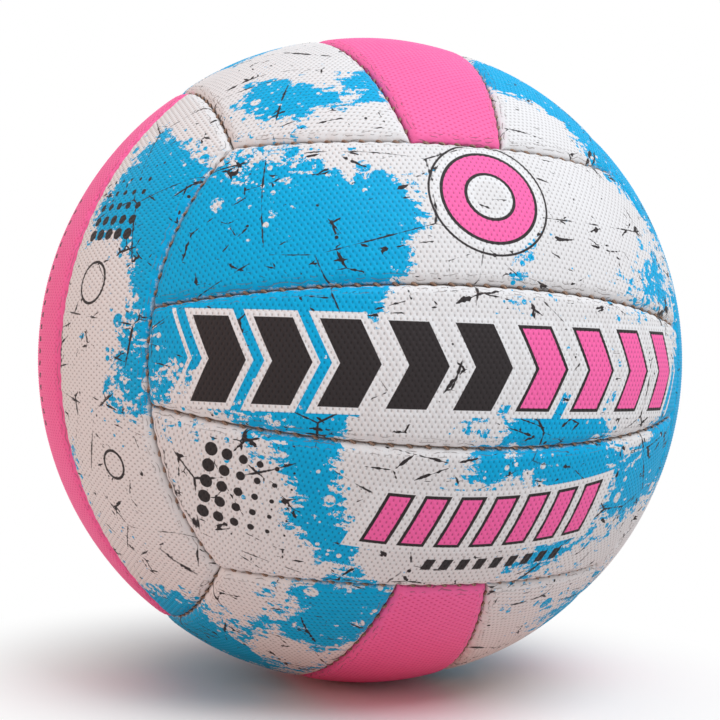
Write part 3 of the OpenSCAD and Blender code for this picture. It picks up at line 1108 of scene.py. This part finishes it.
waxed_thread = twisted_thread()
inner_finish = {
    "lining": woven_cloth("latex_bonded_cotton_weave", "D9CDB4", "A89878", 0.9 * MM),
    "bladder": moulded_rubber("butyl_rubber_with_talc", "17171A", "4B4A4C", 0.7, 0.5 * MM),
    "valve_body": moulded_rubber("moulded_black_rubber", "141414", "242322", 0.42, 0.3 * MM),
    "valve_core": moulded_rubber("soft_grey_silicone", "6E6E70", "858587", 0.35, 0.3 * MM),
    "valve_patch": woven_cloth("rubberised_canvas", "9C7A52", "6B5236", 0.7 * MM),
}

# %% Dress the pieces and tie them to the frame
for node_name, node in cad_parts.items():
    kind = "lining" if node_name.endswith("_lining") else node_name
    if kind in inner_finish:
        for slot in node.material_slots:
            slot.material = inner_finish[kind]
for name, cover in covers.items():
    cover.name = name + "_cover"
    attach(cover, "root")
    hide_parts(name + "_panel")
for node_name, thread in threads.items():
    thread.data.materials.clear()
    thread.data.materials.append(waxed_thread)
    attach(thread, "root")
    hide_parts(node_name)

# %% [markdown]
# ## The studio
# The photograph has a plain white ground. A pale floor carries the ball and its shadow, and
# away from the ball it turns to the white of the backdrop, only for the camera and for
# reflections. A large soft lamp stands above and to the right, and a weak warm one low on the
# left gives the warm tint that the left side of the ball has. The light that the floor throws
# back is warm only near the ball's foot, as it is on the underside in the photograph.

# %% White for the camera, soft grey light for the object
ambient = 0.5


def seen_directly(tree):
    """One for what the camera sees straight on, or in gloss or glass."""
    path = add(tree, "ShaderNodeLightPath")
    gloss = sum_of(tree, "MAXIMUM", path.outputs["Is Camera Ray"], path.outputs["Is Glossy Ray"])
    return sum_of(tree, "MAXIMUM", gloss, path.outputs["Is Transmission Ray"])


world = bpy.data.worlds.new("studio")
bpy.context.scene.world = world
world.use_nodes = True
sky = world.node_tree
sky.nodes.clear()
light = add(sky, "ShaderNodeBackground", {"Color": linear("FFFFFF"), "Strength": ambient})
white_ground = add(sky, "ShaderNodeBackground", {"Color": linear("FFFFFF"), "Strength": 1.0})
mixed = add(
    sky,
    "ShaderNodeMixShader",
    {0: seen_directly(sky), 1: light.outputs[0], 2: white_ground.outputs[0]},
)
add(sky, "ShaderNodeOutputWorld", {"Surface": mixed.outputs[0]})

# %% Floor
floor_r = 40 * ball_r
fade_start = 0.5 * ball_r
fade_end = 1.5 * ball_r
paper_white = "F7F7F7"
paper_gloss = 0.1
foot_tint = "E2B8A8"
far_tint = "DAD5D3"
bpy.ops.object.select_all(action="DESELECT")
bpy.ops.mesh.primitive_circle_add(
    vertices=64, radius=floor_r, fill_type="NGON", location=(0, 0, -ball_r)
)
floor = bpy.context.active_object
floor.name = "studio_floor"
paper, paper_tree, paper_shader = start_material("matt_paper", roughness=0.9, ior=1.5)
paper_shader.inputs["Base Color"].default_value = linear(paper_white)
paper_shader.inputs["Specular IOR Level"].default_value = paper_gloss
paper_place = add(paper_tree, "ShaderNodeTexCoord").outputs["Object"]
paper_distance = add(paper_tree, "ShaderNodeVectorMath", {0: paper_place}, operation="LENGTH")
fade = {
    "Value": paper_distance.outputs["Value"],
    "From Min": fade_start,
    "From Max": fade_end,
}
far = add(paper_tree, "ShaderNodeMapRange", fade, interpolation_type="SMOOTHSTEP").outputs[0]
glow = add(paper_tree, "ShaderNodeEmission", {"Color": linear("FFFFFF"), "Strength": 1.0})
seen = seen_directly(paper_tree)
tint = lay_over(paper_tree, far, linear(foot_tint), linear(far_tint))
bounce = add(paper_tree, "ShaderNodeBsdfDiffuse", {"Color": tint})
ground = add(
    paper_tree,
    "ShaderNodeMixShader",
    {0: seen, 1: bounce.outputs[0], 2: paper_shader.outputs[0]},
)
paper_mix = add(
    paper_tree,
    "ShaderNodeMixShader",
    {
        0: sum_of(paper_tree, "MULTIPLY", far, seen),
        1: ground.outputs[0],
        2: glow.outputs[0],
    },
)
paper_tree.links.new(
    paper_mix.outputs[0], paper_tree.nodes["Material Output"].inputs["Surface"]
)
floor.data.materials.append(paper)


# %% Lamps
def lamp(name, place, size, power, hex_colour):
    data = bpy.data.lights.new(name, "AREA")
    data.size = size
    data.energy = power
    data.color = linear(hex_colour)[:3]
    item = bpy.data.objects.new(name, data)
    item.location = place
    item.rotation_euler = (-Vector(place)).to_track_quat("-Z", "Y").to_euler()
    bpy.context.collection.objects.link(item)


lamp("key_softbox", place=(0.3, -0.7, 1.12), size=0.9, power=13.2, hex_colour="F5F9FF")
lamp("warm_fill", place=(-0.9, -0.05, 0.06), size=0.4, power=1.7, hex_colour="FFB08A")

# %% [markdown]
# ## The camera
# The camera stands level with the ball's middle, a little over half a metre away and turned
# to its left, with a slight roll, as the place of the seams in the photograph shows.

# %% Camera at the photograph's view
view_direction = Vector((-0.3116, -0.9502, 0.0093))
camera_right = Vector((0.94983, -0.31114, 0.03177))
camera_distance = 4.866 * ball_r
lens_mm = 76.8
sensor_mm = 36
camera_data = bpy.data.cameras.new("camera")
camera_data.lens = lens_mm
camera_data.sensor_width = sensor_mm
camera = bpy.data.objects.new("camera", camera_data)
bpy.context.collection.objects.link(camera)
back_axis = view_direction.normalized()
up_axis = back_axis.cross(camera_right).normalized()
right_axis = up_axis.cross(back_axis)
turned = Matrix((right_axis, up_axis, back_axis)).transposed().to_4x4()
camera.matrix_world = Matrix.Translation(back_axis * camera_distance) @ turned
bpy.context.scene.camera = camera
bpy.context.scene.view_settings.view_transform = "Standard"
print("camera at", [round(c, 3) for c in camera.location])
